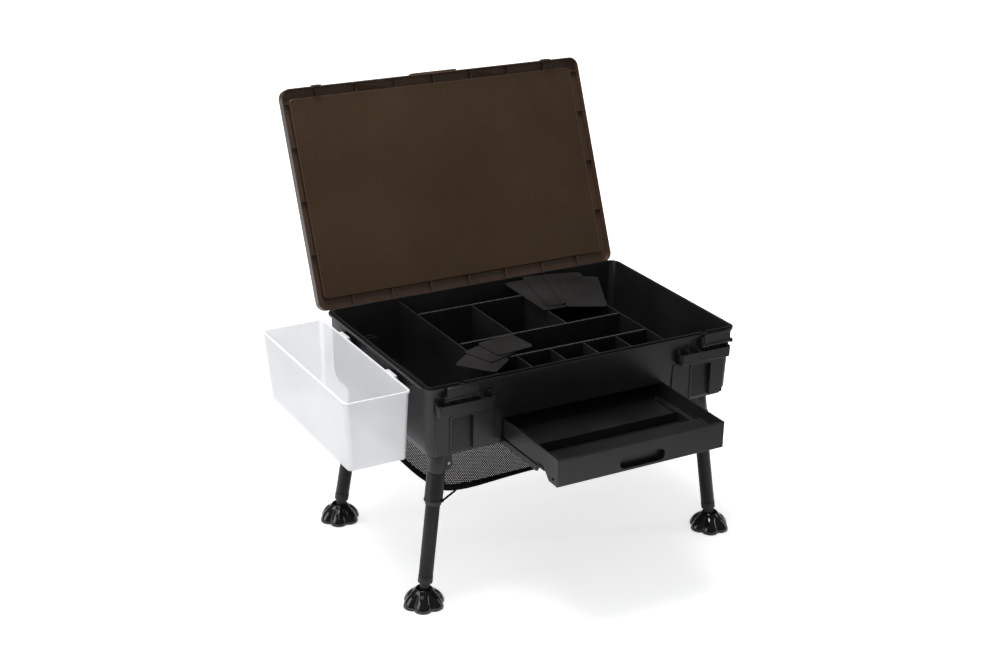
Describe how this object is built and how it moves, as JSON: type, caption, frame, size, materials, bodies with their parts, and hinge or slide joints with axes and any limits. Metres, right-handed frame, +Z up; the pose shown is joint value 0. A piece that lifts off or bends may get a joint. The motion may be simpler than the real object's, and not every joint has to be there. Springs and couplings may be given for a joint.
{
  "type": "tackle cabinet",
  "caption": "Tackle cabinet on splayed telescopic legs with swivel feet: hinged smoked lid, divided compartments, pull-out drawer, hang-on side bin and mesh tray.",
  "frame": {"origin": "bottom centre of the bounding box of the whole object as stored, with the lid and drawer open; Z = 0 is the floor under the feet", "axes": "+X to the right along the front, +Y towards the hinged back, +Z up"},
  "size_m": [0.63, 0.6196, 0.6352],
  "materials": {
    "black_abs": "satin black moulded plastic",
    "insert_black": "satin black moulded plastic",
    "divider_grey": "matt dark grey plastic",
    "smoked_lid": "smoked translucent brown plastic",
    "frosted_bin": "frosted translucent plastic",
    "steel_pin": "plain steel",
    "leg_black": "satin black coated tube",
    "leg_plastic": "satin black moulded plastic",
    "foot_gloss": "polished black",
    "mesh_fabric": "open woven mesh",
    "hem_webbing": "black binding tape",
    "elastic": "black round elastic"
  },
  "bodies": {
    "case": {"case_shell": "black_abs", "divider_tray": "insert_black", "cross_divider_left": "divider_grey", "cross_divider_right": "divider_grey", "front_divider_1": "divider_grey", "front_divider_2": "divider_grey", "front_divider_3": "divider_grey", "front_divider_4": "divider_grey", "tool_ledge_left": "black_abs", "tool_ledge_right": "black_abs", "catch_pins": "steel_pin", "hinge_pins": "steel_pin", "drawer_rail_left": "black_abs", "drawer_rail_right": "black_abs", "bin_keeper_front": "black_abs", "bin_keeper_rear": "black_abs", "socket_screws": "steel_pin", "mesh_tray": "mesh_fabric", "mesh_hem": "hem_webbing", "tray_cords": "elastic", "leg_socket_front_left": "leg_plastic", "leg_sleeve_front_left": "leg_plastic", "leg_socket_front_right": "leg_plastic", "leg_sleeve_front_right": "leg_plastic", "leg_socket_rear_left": "leg_plastic", "leg_sleeve_rear_left": "leg_plastic", "leg_socket_rear_right": "leg_plastic", "leg_sleeve_rear_right": "leg_plastic"},
    "lid": {"lid": "smoked_lid"},
    "drawer": {"drawer_tray": "black_abs", "drawer_front": "black_abs"},
    "catch_left": {"catch_left": "black_abs"},
    "catch_right": {"catch_right": "black_abs"},
    "side_bin": {"side_bin": "frosted_bin"},
    "spare_large": {"spare_divider_large_1": "divider_grey", "spare_divider_large_2": "divider_grey", "spare_divider_large_3": "divider_grey", "spare_divider_large_4": "divider_grey"},
    "spare_small": {"spare_divider_small_1": "divider_grey", "spare_divider_small_2": "divider_grey", "spare_divider_small_3": "divider_grey"},
    "leg_front_left": {"leg_tube_front_left": "leg_black", "leg_collar_front_left": "leg_plastic"},
    "stem_front_left": {"foot_stem_front_left": "leg_plastic"},
    "foot_front_left": {"foot_front_left": "foot_gloss"},
    "leg_front_right": {"leg_tube_front_right": "leg_black", "leg_collar_front_right": "leg_plastic"},
    "stem_front_right": {"foot_stem_front_right": "leg_plastic"},
    "foot_front_right": {"foot_front_right": "foot_gloss"},
    "leg_rear_left": {"leg_tube_rear_left": "leg_black", "leg_collar_rear_left": "leg_plastic"},
    "stem_rear_left": {"foot_stem_rear_left": "leg_plastic"},
    "foot_rear_left": {"foot_rear_left": "foot_gloss"},
    "leg_rear_right": {"leg_tube_rear_right": "leg_black", "leg_collar_rear_right": "leg_plastic"},
    "stem_rear_right": {"foot_stem_rear_right": "leg_plastic"},
    "foot_rear_right": {"foot_rear_right": "foot_gloss"}
  },
  "joints": [
    {"name": "lid_hinge", "type": "hinge", "parent": "case", "child": "lid", "pos_m": [0.04049, 0.16093, 0.32835], "axis": [1, 0, 0], "range_deg": [0, 113.2]},
    {"name": "drawer_slide", "type": "slide", "parent": "case", "child": "drawer", "axis": [0, 1, 0], "range_m": [0, 0.143]},
    {"name": "catch_left_hinge", "type": "hinge", "parent": "case", "child": "catch_left", "pos_m": [-0.16051, -0.17397, 0.319], "axis": [1, 0, 0], "range_deg": [-4, 25]},
    {"name": "catch_right_hinge", "type": "hinge", "parent": "case", "child": "catch_right", "pos_m": [0.25449, -0.17397, 0.319], "axis": [1, 0, 0], "range_deg": [-4, 25]},
    {"name": "bin_lift", "type": "slide", "parent": "case", "child": "side_bin", "axis": [0, 0, 1], "range_m": [0, 0.05]},
    {"name": "spare_large_lift", "type": "slide", "parent": "case", "child": "spare_large", "axis": [0, 0, 1], "range_m": [0, 0.12]},
    {"name": "spare_small_lift", "type": "slide", "parent": "case", "child": "spare_small", "axis": [0, 0, 1], "range_m": [0, 0.12]},
    {"name": "leg_slide_front_left", "type": "slide", "parent": "case", "child": "leg_front_left", "axis": [-0.1329, -0.0636, -0.9891], "range_m": [0, 0.045]},
    {"name": "foot_swivel_front_left", "type": "hinge", "parent": "leg_front_left", "child": "stem_front_left", "pos_m": [-0.20333, -0.14767, 0.014], "axis": [-0.1329, -0.0636, -0.9891], "continuous": true},
    {"name": "foot_tilt_front_left", "type": "hinge", "parent": "stem_front_left", "child": "foot_front_left", "pos_m": [-0.20333, -0.14767, 0.014], "axis": [1, 0, 0], "range_deg": [-15, 15]},
    {"name": "leg_slide_front_right", "type": "slide", "parent": "case", "child": "leg_front_right", "axis": [0.1329, -0.0636, -0.9891], "range_m": [0, 0.045]},
    {"name": "foot_swivel_front_right", "type": "hinge", "parent": "leg_front_right", "child": "stem_front_right", "pos_m": [0.28431, -0.14767, 0.014], "axis": [0.1329, -0.0636, -0.9891], "continuous": true},
    {"name": "foot_tilt_front_right", "type": "hinge", "parent": "stem_front_right", "child": "foot_front_right", "pos_m": [0.28431, -0.14767, 0.014], "axis": [1, 0, 0], "range_deg": [-15, 15]},
    {"name": "leg_slide_rear_left", "type": "slide", "parent": "case", "child": "leg_rear_left", "axis": [-0.1329, 0.0636, -0.9891], "range_m": [0, 0.045]},
    {"name": "foot_swivel_rear_left", "type": "hinge", "parent": "leg_rear_left", "child": "stem_rear_left", "pos_m": [-0.20333, 0.13413, 0.014], "axis": [-0.1329, 0.0636, -0.9891], "continuous": true},
    {"name": "foot_tilt_rear_left", "type": "hinge", "parent": "stem_rear_left", "child": "foot_rear_left", "pos_m": [-0.20333, 0.13413, 0.014], "axis": [1, 0, 0], "range_deg": [-15, 15]},
    {"name": "leg_slide_rear_right", "type": "slide", "parent": "case", "child": "leg_rear_right", "axis": [0.1329, 0.0636, -0.9891], "range_m": [0, 0.045]},
    {"name": "foot_swivel_rear_right", "type": "hinge", "parent": "leg_rear_right", "child": "stem_rear_right", "pos_m": [0.28431, 0.13413, 0.014], "axis": [0.1329, 0.0636, -0.9891], "continuous": true},
    {"name": "foot_tilt_rear_right", "type": "hinge", "parent": "stem_rear_right", "child": "foot_rear_right", "pos_m": [0.28431, 0.13413, 0.014], "axis": [1, 0, 0], "range_deg": [-15, 15]}
  ]
}
